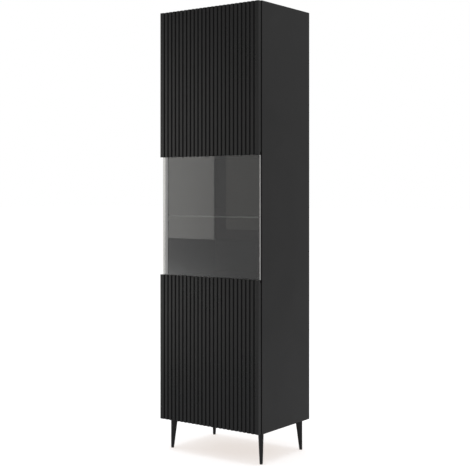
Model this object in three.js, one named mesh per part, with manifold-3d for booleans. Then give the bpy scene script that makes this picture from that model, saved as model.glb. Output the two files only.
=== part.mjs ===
// Tall free-standing display cabinet on four tapered legs, with one full-height door:
// a ribbed panel above, a glass pane in the middle and a ribbed panel below.
// Units are millimetres. +Z is up, the door faces -Y and its hinges are on the +X side.
// The origin is on the floor, under the middle of the whole object.
import * as THREE from 'three';
import { mergeVertices } from 'three/addons/utils/BufferGeometryUtils.js';
import Module from 'manifold-3d';

const wasm = await Module();
wasm.setup();

// ---- Driving dimensions -------------------------------------------------------------
const WIDTH = 520; // carcass, side to side
const DEPTH = 380; // door front to carcass back
const HEIGHT = 1880; // floor to top
const LEG_HEIGHT = 130; // floor to the underside of the carcass
const BOARD = 16; // laminated chipboard
const BACK_THICKNESS = 3; // hardboard back
const BACK_REBATE = 8; // how far the back panel reaches into each side panel
const CLEAR = 0.3; // gap left between two pieces that touch

const DOOR_THICKNESS = 18;
const DOOR_GAP = 3.4; // between the closed door and the carcass
const DOOR_REVEAL = 2; // the door is this much smaller than the carcass all round
const GLASS_BAND = 504; // height of the glass between the two ribbed panels
const GROOVES = 24;
const FIRST_GROOVE = 24.4; // door's left edge to the middle of the first groove
const LAST_GROOVE = 19.8; // middle of the last groove to the door's right edge
const GROOVE_WIDTH = 9.6; // at the front face
const GROOVE_FLOOR = 7.4;
const GROOVE_DEPTH = 4.5;

const PANE_THICKNESS = 4;
const PANE_OVERLAP = 12; // how far the pane reaches behind each ribbed panel
const GRIP_WIDTH = 27; // aluminium grip strip on the opening edge of the pane
const GRIP_INSET = 5; // door edge to the grip strip
const TRIM_WIDTH = 2.4; // aluminium edge strip on the hinge side of the pane
const TRIM_INSET = 0.5; // door edge to the edge strip
const STRIP_WALL = 1.2;
const GRIP_LIP = 0.5; // thickness of the grip strip's edge on the glass
const GRIP_CROWN = 2.4; // how far the grip strip bulges in the middle

const SHELF_DEPTH = 328;
const GLASS_SHELF = 6;
const SHELF_SETBACK = 14; // carcass front to the shelf fronts
const GLASS_SETBACK = 9.6;
const PIN_RADIUS = 2.5;
const PIN_BORE = 9; // depth of a shelf pin's hole in the side panel
const PIN_INSET = 45; // shelf pin to the front or back edge of its shelf

const LEG_INSET_X = 26; // carcass side to the middle of the foot
const LEG_INSET_FRONT = 33; // carcass front to the middle of a front foot
const LEG_INSET_BACK = 28; // carcass back to the middle of a back foot
const LEG_FOOT_RADIUS = 6.7;
const LEG_TOP_LONG = 14.9; // half length of the leg's section at the top, along the diagonal
const LEG_TOP_SHORT = 11.4; // half width there, across the diagonal
const LEG_PLATE = 2.5;
const GLIDE_HEIGHT = 4;

const CUP_RADIUS = 17.5;
const CUP_DEPTH = 11.5;
const CUP_EDGE = 3; // door edge to the cup's bore
const CUP_FLANGE = 1.2;
const HINGE_PIVOT_INSET = 7.5; // door edge to the pivot pin
const HINGE_PIVOT_DEPTH = 7.7; // door back to the pivot pin

const LATCH_X = -222;
const LATCH_SIZE = { x: 16, y: 60, z: 14 };
const PLUNGER_RADIUS = 4;
const PLUNGER_LENGTH = 40;

// ---- Places worked out from them ----------------------------------------------------
const SIDE = WIDTH / 2;
const INNER = SIDE - BOARD;
const FRONT = -DEPTH / 2;
const REAR = DEPTH / 2;
const DOOR_BACK = FRONT + DOOR_THICKNESS;
const CARCASS_FRONT = DOOR_BACK + DOOR_GAP;
const BACK_FACE = REAR - BACK_THICKNESS - CLEAR;
const FLOOR = LEG_HEIGHT + BOARD;
const CEILING = HEIGHT - BOARD;
const DOOR_SIDE = SIDE - DOOR_REVEAL;
const DOOR_LOW = LEG_HEIGHT + DOOR_REVEAL;
const DOOR_HIGH = HEIGHT - DOOR_REVEAL;
const BAND_LOW = (DOOR_LOW + DOOR_HIGH - GLASS_BAND) / 2;
const BAND_HIGH = BAND_LOW + GLASS_BAND;
const PANE_BACK = DOOR_BACK - 0.1;
const PANE_FRONT = PANE_BACK - PANE_THICKNESS;
const PIVOT = { x: DOOR_SIDE - HINGE_PIVOT_INSET, y: DOOR_BACK - HINGE_PIVOT_DEPTH };
const CUP_X = DOOR_SIDE - CUP_EDGE - CUP_RADIUS;
const HINGE_HEIGHTS = [DOOR_LOW + 100, BAND_LOW - 110, BAND_HIGH + 110, DOOR_HIGH - 100];

// ---- Materials ----------------------------------------------------------------------
function finish(color, roughness, metalness) {
  return () => new THREE.MeshStandardMaterial({ color, roughness, metalness });
}
const blackBoard = finish(0x2a2a2b, 0.55, 0);
const ribbedFoil = finish(0x262627, 0.5, 0);
const hardboard = finish(0x1f1f20, 0.7, 0);
const legMetal = finish(0x1a1a1b, 0.4, 0.6);
const nickel = finish(0xb8b6b0, 0.3, 1);
const aluminium = finish(0x868685, 0.35, 1);
const blackPlastic = finish(0x151515, 0.6, 0);
const greyPlastic = finish(0x77797a, 0.5, 0);

function glass(color, opacity) {
  return () => new THREE.MeshStandardMaterial({
    color, roughness: 0.03, metalness: 0, transparent: true, opacity,
  });
}
const smokedGlass = glass(0x3a3c3c, 0.5);
const clearGlass = glass(0xcfe3dc, 0.3);

// ---- Helpers ------------------------------------------------------------------------
const cabinet = new THREE.Group();

function addPart(name, geometry, material, x = 0, y = 0, z = 0) {
  const mesh = new THREE.Mesh(geometry, material());
  mesh.name = name;
  mesh.position.set(x, y, z);
  cabinet.add(mesh);
}

// A box between two corners.
function block(x0, x1, y0, y1, z0, z1) {
  const geometry = new THREE.BoxGeometry(x1 - x0, y1 - y0, z1 - z0);
  return geometry.translate((x0 + x1) / 2, (y0 + y1) / 2, (z0 + z1) / 2);
}

// A round bar about the Z, X or Y axis, centred on the origin.
function rod(radius, length, axis = 'z', sides = 16) {
  const geometry = new THREE.CylinderGeometry(radius, radius, length, sides);
  if (axis === 'z') geometry.rotateX(Math.PI / 2);
  if (axis === 'x') geometry.rotateZ(Math.PI / 2);
  return geometry;
}

// A flat outline in X and Y, pulled up from z0 to z1.
function pull(shape, z0, z1, curveSegments = 8) {
  const options = { depth: z1 - z0, bevelEnabled: false, curveSegments };
  return new THREE.ExtrudeGeometry(shape, options).translate(0, 0, z0);
}

function toSolid(geometry) {
  const plain = geometry.clone();
  plain.deleteAttribute('normal');
  plain.deleteAttribute('uv');
  const merged = mergeVertices(plain, 1e-4);
  const vertProperties = new Float32Array(merged.attributes.position.array);
  const triVerts = new Uint32Array(merged.index.array);
  return new wasm.Manifold(new wasm.Mesh({ numProp: 3, vertProperties, triVerts }));
}

function toGeometry(solid) {
  const mesh = solid.getMesh();
  const geometry = new THREE.BufferGeometry();
  geometry.setAttribute('position', new THREE.BufferAttribute(mesh.vertProperties, 3));
  geometry.setIndex(new THREE.BufferAttribute(mesh.triVerts, 1));
  geometry.computeVertexNormals();
  return geometry;
}

function cut(geometry, tools) {
  const start = toSolid(geometry);
  return toGeometry(tools.reduce((solid, tool) => solid.subtract(toSolid(tool)), start));
}

function join(geometries) {
  const [first, ...rest] = geometries.map(toSolid);
  return toGeometry(rest.reduce((solid, other) => solid.add(other), first));
}

// ---- Shelves: heights, fronts and where their pins stand -----------------------------
const FIXED_LOW = BAND_LOW - 5 - BOARD; // underside of the shelf below the glass band
const FIXED_HIGH = BAND_HIGH + 5; // underside of the shelf above it
const looseShelves = [
  { name: 'lower', low: (FLOOR + FIXED_LOW) / 2 - BOARD / 2, thickness: BOARD,
    front: CARCASS_FRONT + SHELF_SETBACK, depth: SHELF_DEPTH, material: blackBoard },
  { name: 'glass', low: (BAND_LOW + BAND_HIGH) / 2 - GLASS_SHELF / 2, thickness: GLASS_SHELF,
    front: CARCASS_FRONT + GLASS_SETBACK, depth: SHELF_DEPTH, material: clearGlass },
  { name: 'upper', low: (FIXED_HIGH + BOARD + CEILING) / 2 - BOARD / 2, thickness: BOARD,
    front: CARCASS_FRONT + SHELF_SETBACK, depth: SHELF_DEPTH, material: blackBoard },
];

// Front and back pins of one shelf, with the height of the pins' middle.
function pinPlaces(shelf) {
  const z = shelf.low - CLEAR - PIN_RADIUS;
  return {
    front: { y: shelf.front + PIN_INSET, z },
    back: { y: shelf.front + shelf.depth - PIN_INSET, z },
  };
}

// ---- Carcass ------------------------------------------------------------------------
// A side panel: rebated at the back for the hardboard, and bored for the shelf pins.
function sidePanel(side) {
  const rebate = BACK_THICKNESS + CLEAR;
  const outline = [
    [SIDE, CARCASS_FRONT],
    [SIDE, REAR],
    [INNER + BACK_REBATE, REAR],
    [INNER + BACK_REBATE, REAR - rebate],
    [INNER, REAR - rebate],
    [INNER, CARCASS_FRONT],
  ];
  const shape = new THREE.Shape(outline.map(([x, y]) => new THREE.Vector2(side * x, y)));
  const bores = looseShelves.flatMap((shelf) => Object.values(pinPlaces(shelf))).map(
    ({ y, z }) => rod(PIN_RADIUS + CLEAR, 2 * PIN_BORE, 'x', 12).translate(side * INNER, y, z),
  );
  return cut(pull(shape, LEG_HEIGHT, HEIGHT), bores);
}

function addCarcass() {
  addPart('left_side_panel', sidePanel(-1), blackBoard);
  addPart('right_side_panel', sidePanel(1), blackBoard);
  const half = INNER - CLEAR;
  const boards = {
    top_panel: CEILING,
    bottom_panel: LEG_HEIGHT,
    upper_fixed_shelf: FIXED_HIGH,
    lower_fixed_shelf: FIXED_LOW,
  };
  for (const [name, low] of Object.entries(boards)) {
    addPart(name, block(-half, half, CARCASS_FRONT, BACK_FACE, low, low + BOARD), blackBoard);
  }
  const backHalf = INNER + BACK_REBATE - CLEAR;
  const back = block(-backHalf, backHalf, REAR - BACK_THICKNESS, REAR,
    LEG_HEIGHT + DOOR_REVEAL, HEIGHT - DOOR_REVEAL);
  addPart('back_panel', back, hardboard);
}

// A shelf pin: a stem in the side panel, a collar against it and a stub under the shelf.
function shelfPin(side) {
  const stem = PIN_BORE - 1;
  const collar = 1.2;
  const stub = 8;
  const profile = [
    [0, -stem],
    [PIN_RADIUS, -stem],
    [PIN_RADIUS, CLEAR],
    [PIN_RADIUS + 1.5, CLEAR],
    [PIN_RADIUS + 1.5, CLEAR + collar],
    [PIN_RADIUS, CLEAR + collar],
    [PIN_RADIUS, stub],
    [0, stub],
  ].map(([r, along]) => new THREE.Vector2(r, along));
  return new THREE.LatheGeometry(profile, 12).rotateZ(side * Math.PI / 2);
}

function addLooseShelves() {
  const half = INNER - 2.4;
  for (const shelf of looseShelves) {
    const { name, low, thickness, front, depth, material } = shelf;
    const board = block(-half, half, front, front + depth, low, low + thickness);
    addPart(`${name}_shelf`, board, material);
    for (const [end, { y, z }] of Object.entries(pinPlaces(shelf))) {
      addPart(`${name}_shelf_pin_${end}_left`, shelfPin(-1), nickel, -INNER, y, z);
      addPart(`${name}_shelf_pin_${end}_right`, shelfPin(1), nickel, INNER, y, z);
    }
  }
}

// ---- Legs ---------------------------------------------------------------------------
// A tapered leg. Its section is a circle at the foot and an oval at the top, long along the
// carcass diagonal. Its outer edge is upright, so all the taper is on the inner edge.
function leg(low, high) {
  const length = high - low;
  const geometry = new THREE.CylinderGeometry(1, 1, length, 24, 6);
  geometry.rotateX(Math.PI / 2);
  geometry.translate(0, 0, low + length / 2);
  const position = geometry.attributes.position;
  for (let i = 0; i < position.count; i += 1) {
    const up = (position.getZ(i) - low) / length;
    const long = THREE.MathUtils.lerp(LEG_FOOT_RADIUS, LEG_TOP_LONG, up);
    const short = THREE.MathUtils.lerp(LEG_FOOT_RADIUS, LEG_TOP_SHORT, up);
    const inward = long - LEG_FOOT_RADIUS;
    position.setX(i, position.getX(i) * long - inward);
    position.setY(i, position.getY(i) * short);
  }
  return geometry;
}

function addLegs() {
  const plateLow = LEG_HEIGHT - CLEAR - LEG_PLATE;
  const xFoot = SIDE - LEG_INSET_X;
  const places = {
    front_left: [-1, -1],
    front_right: [1, -1],
    back_left: [-1, 1],
    back_right: [1, 1],
  };
  for (const [name, [sx, sy]] of Object.entries(places)) {
    const y = sy < 0 ? CARCASS_FRONT + LEG_INSET_FRONT : REAR - LEG_INSET_BACK;
    const outward = Math.atan2(sy, sx);
    const shaft = leg(GLIDE_HEIGHT + CLEAR, plateLow - CLEAR).rotateZ(outward);
    addPart(`leg_${name}`, shaft, legMetal, sx * xFoot, y);
    const inset = 7;
    const plate = block(-26, 26, -26, 26, plateLow, LEG_HEIGHT - CLEAR);
    addPart(`leg_plate_${name}`, plate, legMetal, sx * (xFoot - inset), y - sy * inset);
    const glide = rod(LEG_FOOT_RADIUS - 0.2, GLIDE_HEIGHT, 'z', 24);
    addPart(`glide_${name}`, glide, blackPlastic, sx * xFoot, y, GLIDE_HEIGHT / 2);
  }
}

// ---- Door ---------------------------------------------------------------------------
// The section of a ribbed panel: flat ribs with trapezoid grooves between them.
function ribbedOutline() {
  const pitch = (2 * DOOR_SIDE - FIRST_GROOVE - LAST_GROOVE) / (GROOVES - 1);
  const points = [[-DOOR_SIDE, DOOR_BACK], [-DOOR_SIDE, FRONT]];
  for (let i = 0; i < GROOVES; i += 1) {
    const middle = -DOOR_SIDE + FIRST_GROOVE + i * pitch;
    points.push([middle - GROOVE_WIDTH / 2, FRONT]);
    points.push([middle - GROOVE_FLOOR / 2, FRONT + GROOVE_DEPTH]);
    points.push([middle + GROOVE_FLOOR / 2, FRONT + GROOVE_DEPTH]);
    points.push([middle + GROOVE_WIDTH / 2, FRONT]);
  }
  points.push([DOOR_SIDE, FRONT], [DOOR_SIDE, DOOR_BACK]);
  return new THREE.Shape(points.map(([x, y]) => new THREE.Vector2(x, y)));
}

// A ribbed panel from z0 to z1, bored for its hinge cups and rebated for the pane.
function ribbedPanel(z0, z1, paneEdge, hingeHeights) {
  const bores = hingeHeights.map(
    (z) => rod(CUP_RADIUS + CLEAR, 2 * (CUP_DEPTH + CLEAR), 'y', 32).translate(CUP_X, DOOR_BACK, z),
  );
  const reach = PANE_OVERLAP + CLEAR;
  const rebate = block(-SIDE, SIDE, PANE_FRONT - CLEAR, 0, paneEdge - reach, paneEdge + reach);
  return cut(pull(ribbedOutline(), z0, z1), [...bores, rebate]);
}

// The grip strip: a crowned front with a wall that covers the pane's edge.
function gripStrip() {
  const outer = -DOOR_SIDE + GRIP_INSET;
  const inner = outer + GRIP_WIDTH;
  const face = PANE_FRONT - CLEAR;
  const shape = new THREE.Shape();
  shape.moveTo(outer, PANE_BACK);
  shape.lineTo(outer, face - STRIP_WALL);
  const crest = face - STRIP_WALL - 2 * GRIP_CROWN;
  shape.quadraticCurveTo((outer + inner) / 2, crest, inner, face - GRIP_LIP);
  shape.lineTo(inner, face);
  shape.lineTo(outer + STRIP_WALL, face);
  shape.lineTo(outer + STRIP_WALL, PANE_BACK);
  return pull(shape, BAND_LOW + CLEAR, BAND_HIGH - CLEAR, 12);
}

// The edge strip on the hinge side: a plain angle.
function edgeStrip() {
  const face = PANE_FRONT - CLEAR;
  const outer = DOOR_SIDE - TRIM_INSET;
  const inner = outer - TRIM_WIDTH;
  const outline = [
    [outer, PANE_BACK],
    [outer, face - STRIP_WALL],
    [inner, face - STRIP_WALL],
    [inner, face],
    [outer - STRIP_WALL, face],
    [outer - STRIP_WALL, PANE_BACK],
  ];
  const shape = new THREE.Shape(outline.map(([x, y]) => new THREE.Vector2(x, y)));
  return pull(shape, BAND_LOW + CLEAR, BAND_HIGH - CLEAR);
}

function addDoor() {
  const [first, second, third, fourth] = HINGE_HEIGHTS;
  const lower = ribbedPanel(DOOR_LOW, BAND_LOW, BAND_LOW, [first, second]);
  const upper = ribbedPanel(BAND_HIGH, DOOR_HIGH, BAND_HIGH, [third, fourth]);
  addPart('lower_ribbed_panel', lower, ribbedFoil);
  addPart('upper_ribbed_panel', upper, ribbedFoil);
  const left = -DOOR_SIDE + GRIP_INSET + STRIP_WALL + CLEAR;
  const right = DOOR_SIDE - TRIM_INSET - STRIP_WALL - CLEAR;
  const pane = block(left, right, PANE_FRONT, PANE_BACK,
    BAND_LOW - PANE_OVERLAP, BAND_HIGH + PANE_OVERLAP);
  addPart('glass_pane', pane, smokedGlass);
  addPart('grip_strip', gripStrip(), aluminium);
  addPart('edge_strip', edgeStrip(), aluminium);
}

// ---- Hinges -------------------------------------------------------------------------
// Cup: a round shell in the door, a flange with two ears on its back, and the pivot pin.
function hingeCup() {
  const wall = 1;
  const deep = DOOR_BACK - CUP_DEPTH;
  const proud = DOOR_BACK + CLEAR + CUP_FLANGE;
  const middle = (deep + proud) / 2;
  const shell = rod(CUP_RADIUS, proud - deep, 'y', 32).translate(CUP_X, middle, 0);
  const ears = block(CUP_X - 7, CUP_X + 7, DOOR_BACK + CLEAR, proud, -28, 28);
  const hollow = rod(CUP_RADIUS - wall, 2 * (proud - deep - wall), 'y', 32);
  hollow.translate(CUP_X, proud, 0);
  const pin = rod(1, 20, 'z', 12).translate(PIVOT.x, PIVOT.y, 0);
  return join([cut(join([shell, ears]), [hollow]), pin]);
}

// Arm: a channel over the mounting plate's rail, with the rivet that holds the link.
const ARM_WEB = INNER - 14.5; // the side of the web that faces into the cabinet
const LINK_RIVET = { x: INNER - 7, y: CARCASS_FRONT + 7.6 };
function hingeArm() {
  const front = CARCASS_FRONT + 4;
  const back = CARCASS_FRONT + 66;
  const web = block(ARM_WEB, ARM_WEB + 1.5, front, back, -7.5, 7.5);
  const low = block(ARM_WEB, ARM_WEB + 9.5, front, back - 14, -7.5, -6);
  const high = block(ARM_WEB, ARM_WEB + 9.5, front, back - 14, 6, 7.5);
  const rivet = rod(1.5, 13.5, 'z', 12).translate(LINK_RIVET.x, LINK_RIVET.y, 0);
  return join([web, low, high, rivet]);
}

// Link: a hooked strap from the rivet to the pivot pin, an eye at each end.
function hingeLink() {
  const half = 1.1; // half the strap's thickness
  const corner = { x: PIVOT.x - 10.8, y: PIVOT.y };
  const strap = new THREE.Shape();
  strap.moveTo(PIVOT.x - 1.9, corner.y - half);
  strap.lineTo(corner.x, corner.y - half);
  strap.quadraticCurveTo(corner.x - half, corner.y - half, corner.x - half, corner.y + half);
  strap.lineTo(LINK_RIVET.x - half, LINK_RIVET.y - 2.4);
  strap.lineTo(LINK_RIVET.x + half, LINK_RIVET.y - 2.4);
  strap.lineTo(corner.x + half, corner.y + half);
  strap.lineTo(PIVOT.x - 1.9, corner.y + half);
  const eyes = [
    { at: PIVOT, outer: 2.5, hole: 1 + CLEAR },
    { at: LINK_RIVET, outer: 3.4, hole: 1.5 + CLEAR },
  ];
  const rings = eyes.map(({ at, outer }) => rod(outer, 7, 'z', 20).translate(at.x, at.y, 0));
  const holes = eyes.map(({ at, hole }) => rod(hole, 9, 'z', 16).translate(at.x, at.y, 0));
  return cut(join([pull(strap, -3.5, 3.5), ...rings]), holes);
}

// Mounting plate: two wings screwed to the side panel and a rail that carries the arm.
function hingePlate() {
  const face = INNER - CLEAR;
  const start = CARCASS_FRONT + 20;
  const wings = block(face - 2.5, face, start + 6, start + 28, -26, 26);
  const rail = block(ARM_WEB + 1.5 + CLEAR, face, start, start + 46, -5.5, 5.5);
  return join([wings, rail]);
}

function addHinges() {
  HINGE_HEIGHTS.forEach((z, index) => {
    const number = index + 1;
    addPart(`hinge_plate_${number}`, hingePlate(), nickel, 0, 0, z);
    addPart(`hinge_arm_${number}`, hingeArm(), nickel, 0, 0, z);
    addPart(`hinge_link_${number}`, hingeLink(), nickel, 0, 0, z);
    addPart(`hinge_cup_${number}`, hingeCup(), nickel, 0, 0, z);
  });
}

// ---- Push latches and wall bracket ----------------------------------------------------
// A latch body with a plunger that reaches the back of the closed door.
function addLatch(name, z) {
  const { x: wide, y: long, z: tall } = LATCH_SIZE;
  const front = CARCASS_FRONT + 2;
  const body = block(-wide / 2, wide / 2, front, front + long, -tall / 2, tall / 2);
  const bore = rod(PLUNGER_RADIUS + CLEAR, 2 * (long - 4), 'y', 20).translate(0, front, 0);
  addPart(`${name}_latch_body`, cut(body, [bore]), greyPlastic, LATCH_X, 0, z);
  const tip = DOOR_BACK + 0.4;
  const plunger = rod(PLUNGER_RADIUS, PLUNGER_LENGTH, 'y', 20);
  addPart(`${name}_latch_plunger`, plunger, blackPlastic, LATCH_X, tip + PLUNGER_LENGTH / 2, z);
}

function addWallBracket() {
  const half = 20;
  const arm = 25;
  const sheet = 2;
  const top = CEILING - CLEAR;
  const rear = BACK_FACE;
  const flat = block(-half, half, rear - arm, rear, top - sheet, top);
  const upright = block(-half, half, rear - sheet, rear, top - arm, top);
  addPart('wall_bracket', join([flat, upright]), nickel);
}

addCarcass();
addLooseShelves();
addLegs();
addDoor();
addHinges();
addLatch('upper', CEILING - CLEAR - LATCH_SIZE.z / 2);
addLatch('lower', FLOOR + CLEAR + LATCH_SIZE.z / 2);
addWallBracket();

export default cabinet;
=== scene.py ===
# %% [markdown]
# # A tall display cabinet with a ribbed door
#
# This lesson dresses a finished cabinet model in Blender. The cabinet stands on four tapered
# legs. One full-height door covers its front: ribbed panels above and below, and a smoked
# glass pane between them. The pieces come from a imported model, which fixes every size and
# place, so each step here reads where a piece is and then gives it a better shape and finish.
# One script can serve the closed cabinet and the open one, because every new piece rides on the
# carcass or the door.

# %% Load the fixed frame
import math
import bmesh
import bpy
from mathutils import Matrix, Vector


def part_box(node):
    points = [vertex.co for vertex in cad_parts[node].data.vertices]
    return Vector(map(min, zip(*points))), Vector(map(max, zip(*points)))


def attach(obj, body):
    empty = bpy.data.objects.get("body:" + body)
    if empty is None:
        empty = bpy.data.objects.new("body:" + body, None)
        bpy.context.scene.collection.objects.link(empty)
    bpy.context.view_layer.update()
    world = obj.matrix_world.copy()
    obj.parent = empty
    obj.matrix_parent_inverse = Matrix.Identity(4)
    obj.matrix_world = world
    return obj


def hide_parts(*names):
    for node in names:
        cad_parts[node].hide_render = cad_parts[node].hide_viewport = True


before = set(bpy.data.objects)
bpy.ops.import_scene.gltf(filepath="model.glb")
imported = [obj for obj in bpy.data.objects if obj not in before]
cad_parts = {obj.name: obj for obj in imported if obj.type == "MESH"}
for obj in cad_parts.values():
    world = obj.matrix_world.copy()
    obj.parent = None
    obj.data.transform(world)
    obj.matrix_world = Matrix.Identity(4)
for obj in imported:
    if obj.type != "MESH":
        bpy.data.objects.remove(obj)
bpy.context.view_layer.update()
scene = bpy.context.scene
MM = 0.001

# %% [markdown]
# ## Camera
#
# A tall cabinet looks right when its upright edges stay upright in the picture. So the
# camera looks level from a little over a metre up, with a long lens, and a small downward
# shift, not a tilt, brings the feet into view.

# %% Place the camera
CAMERA_PLACE = Vector((2.595, -3.531, 1.102))
CAMERA_TURN = math.radians(36.29)
LEVEL = math.radians(90)

camera_data = bpy.data.cameras.new("camera")
camera_data.lens = 77.85
camera_data.sensor_width = 36
camera_data.shift_y = -0.0885
camera = bpy.data.objects.new("camera", camera_data)
camera.location = CAMERA_PLACE
camera.rotation_euler = (LEVEL, 0, CAMERA_TURN)
scene.collection.objects.link(camera)
scene.camera = camera
print("camera distance in m:", round(CAMERA_PLACE.xy.length, 2))

# %% [markdown]
# ## A white room and soft panels of light
#
# Black furniture is hard to light, because nearly all that we see of it is what it reflects.
# We surround it with white and add a few large glowing panels. Those in front show as soft
# rectangles in the glass and as a gentle fall of light across the ribs. The panels are
# meshes with an emission shader, so that one end can glow more than the other.

# %% Helpers that add shader nodes
def node(tree, kind, inputs=None, **settings):
    """Adds one node. An input is a plain value or another node's output."""
    made = tree.nodes.new(kind)
    for key, value in settings.items():
        setattr(made, key, value)
    for key, value in (inputs or {}).items():
        if isinstance(value, bpy.types.NodeSocket):
            tree.links.new(value, made.inputs[key])
        else:
            made.inputs[key].default_value = value
    return made


def maths(tree, operation, *values, clamp=False):
    """One sum on plain values or outputs."""
    return node(tree, "ShaderNodeMath", dict(enumerate(values)), operation=operation,
                use_clamp=clamp).outputs[0]


def from_to(tree, amount, low, high, start=0.0, end=1.0):
    """Turns an amount between start and end into one between low and high."""
    return node(tree, "ShaderNodeMapRange", {
        "Value": amount, "From Min": start, "From Max": end,
        "To Min": low, "To Max": high}).outputs[0]


# %% White surroundings
ROOM_LIGHT = 1.0
scene.view_settings.view_transform = "Standard"
world = bpy.data.worlds.new("white_room")
world.use_nodes = True
world.node_tree.nodes["Background"].inputs["Color"].default_value = (1, 1, 1, 1)
world.node_tree.nodes["Background"].inputs["Strength"].default_value = ROOM_LIGHT
scene.world = world


# %% The floor
PAPER = (0.33, 0.39, 0.446, 1)
PAPER_GLOW = (0.707, 0.631, 0.576, 1)
FLOOR_HALF = 60
SQUARE = [(-1, -1), (1, -1), (1, 1), (-1, 1)]


def floor_material():
    """White paper that also glows a little, as a lit studio sweep does."""
    material = bpy.data.materials.new("studio_floor")
    material.use_nodes = True
    tree = material.node_tree
    tree.nodes.clear()
    paper = node(tree, "ShaderNodeBsdfDiffuse", {"Color": PAPER})
    glow = node(tree, "ShaderNodeEmission", {"Color": PAPER_GLOW, "Strength": 1.0})
    both = node(tree, "ShaderNodeAddShader", {0: paper.outputs[0], 1: glow.outputs[0]})
    node(tree, "ShaderNodeOutputMaterial", {"Surface": both.outputs[0]})
    material.cycles.emission_sampling = "NONE"
    return material


floor_mesh = bpy.data.meshes.new("floor")
floor_mesh.from_pydata([(x * FLOOR_HALF, y * FLOOR_HALF, 0) for x, y in SQUARE], [], [range(4)])
floor = bpy.data.objects.new("floor", floor_mesh)
floor_mesh.materials.append(floor_material())
scene.collection.objects.link(floor)
print("floor width in m:", 2 * FLOOR_HALF)


# %% The glowing panels
PANEL_WHITE = (1, 1, 1, 1)
PANEL_WARM = (1, 0.99, 0.965, 1)
PANEL_DEPTH = -3.0
PANEL_TOP = 2.15
FLOOR_PANEL_HEIGHT = 0.02


def light_panel(name, corners, strengths, along="X", fades=False):
    """A flat panel through four corners. strengths holds its glow at its low and high end.

    A panel that fades is bright in one low corner only, and dies down to the room's light
    upward and to the right.
    """
    mesh = bpy.data.meshes.new(name)
    mesh.from_pydata(corners, [], [(0, 1, 2, 3)])
    material = bpy.data.materials.new(name)
    material.use_nodes = True
    tree = material.node_tree
    tree.nodes.clear()
    place = node(tree, "ShaderNodeTexCoord").outputs["Generated"]
    axes = node(tree, "ShaderNodeSeparateXYZ", {0: place}).outputs
    if fades:
        across = maths(tree, "POWER", maths(tree, "SUBTRACT", 1.0, axes["X"]), 2.0)
        upward = maths(tree, "POWER", maths(tree, "SUBTRACT", 1.0, axes["Z"]), 3.0)
        extra = from_to(tree, upward, strengths[1] - ROOM_LIGHT, strengths[0] - ROOM_LIGHT)
        amount = maths(tree, "MULTIPLY_ADD", extra, across, ROOM_LIGHT)
    else:
        amount = from_to(tree, axes[along], *strengths)
    tint = PANEL_WHITE if fades else PANEL_WARM
    glow = node(tree, "ShaderNodeEmission", {"Color": tint, "Strength": amount})
    node(tree, "ShaderNodeOutputMaterial", {"Surface": glow.outputs[0]})
    mesh.materials.append(material)
    panel = bpy.data.objects.new(name, mesh)
    scene.collection.objects.link(panel)
    panel.visible_camera = False


def upright_panel(name, left, right, low, high, strengths, fades=False):
    y = PANEL_DEPTH
    corners = [(left, y, low), (left, y, high), (right, y, high), (right, y, low)]
    light_panel(name, corners, strengths, fades=fades)


upright_panel("wide_panel", -5.0, -2.142, 0.749, PANEL_TOP, (5.6, 2.15))
upright_panel("narrow_panel", -2.025, -1.35, 0.829, PANEL_TOP, (1.27, 1.15))
upright_panel("low_panel", -2.9, -1.74, 0.25, 0.745, (9.8, 1.72), fades=True)
floor_plan = [(-4.4, -4.5), (-4.4, -0.7), (-1.3, -0.7), (-1.3, -4.5)]
floor_corners = [(x, y, FLOOR_PANEL_HEIGHT) for x, y in floor_plan]
light_panel("floor_panel", floor_corners, (4.6, 1.2))


# %% Panels beside and above the cabinet
TOP_HEIGHT = 4.6
TOP_HALF = 1.6


def side_panel(name, x, front, back, low, high, strengths):
    """A panel to the left of the cabinet, whose glow changes with height."""
    corners = [(x, front, low), (x, front, high), (x, back, high), (x, back, low)]
    light_panel(name, corners, strengths, "Z")


side_panel("side_panel", -2.3, -1.9, -0.3, 0.0, 2.3, (2.6, 2.6))
side_panel("low_side_panel", -2.25, -1.3, -0.3, 0.0, 0.62, (5.0, 3.4))
top_corners = [(x * TOP_HALF, y * TOP_HALF, TOP_HEIGHT) for x, y in SQUARE]
light_panel("overhead_panel", top_corners, (5.0, 5.0))

# %% [markdown]
# ## Surface effects that several finishes share
#
# Real black furniture isn't one flat black. Foil has a fine embossed grain, hands leave faint
# dull patches, corners are rubbed a little paler, and dust settles on whatever faces up.
# Nearly every finish needs some of those effects, so each effect is a node group, built once
# and placed in a material with that material's own values. A group only puts out numbers that
# vary over the surface. The shader itself stays in the material.

# %% Start a node group
def new_group(name, inputs, output):
    """An empty group with named inputs and one output. Returns (group, inputs, result)."""
    group = bpy.data.node_groups.new(name, "ShaderNodeTree")
    for label, kind, value in inputs:
        socket = group.interface.new_socket(name=label, in_out="INPUT", socket_type=kind)
        socket.default_value = value
    group.interface.new_socket(name=output, in_out="OUTPUT", socket_type="NodeSocketFloat")
    start = group.nodes.new("NodeGroupInput")
    result = group.nodes.new("NodeGroupOutput")
    return group, start.outputs, result


FLOAT = "NodeSocketFloat"
VECTOR = "NodeSocketVector"


# %% Embossed grain
def build_grain():
    """Fine relief. Stretch makes it longer one way, for brushing or wood-like pores."""
    group, given, result = new_group(
        "embossed_grain",
        [("Per metre", FLOAT, 900.0), ("Stretch", VECTOR, (1, 1, 1)), ("Detail", FLOAT, 3.0)],
        "Height")
    place = node(group, "ShaderNodeTexCoord").outputs["Object"]
    spread = node(group, "ShaderNodeVectorMath", {0: place, 1: given["Stretch"]},
                  operation="MULTIPLY")
    noise = node(group, "ShaderNodeTexNoise", {
        "Vector": spread.outputs[0], "Scale": given["Per metre"],
        "Detail": given["Detail"], "Roughness": 0.6})
    group.links.new(noise.outputs["Fac"], result.inputs["Height"])
    return group


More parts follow.
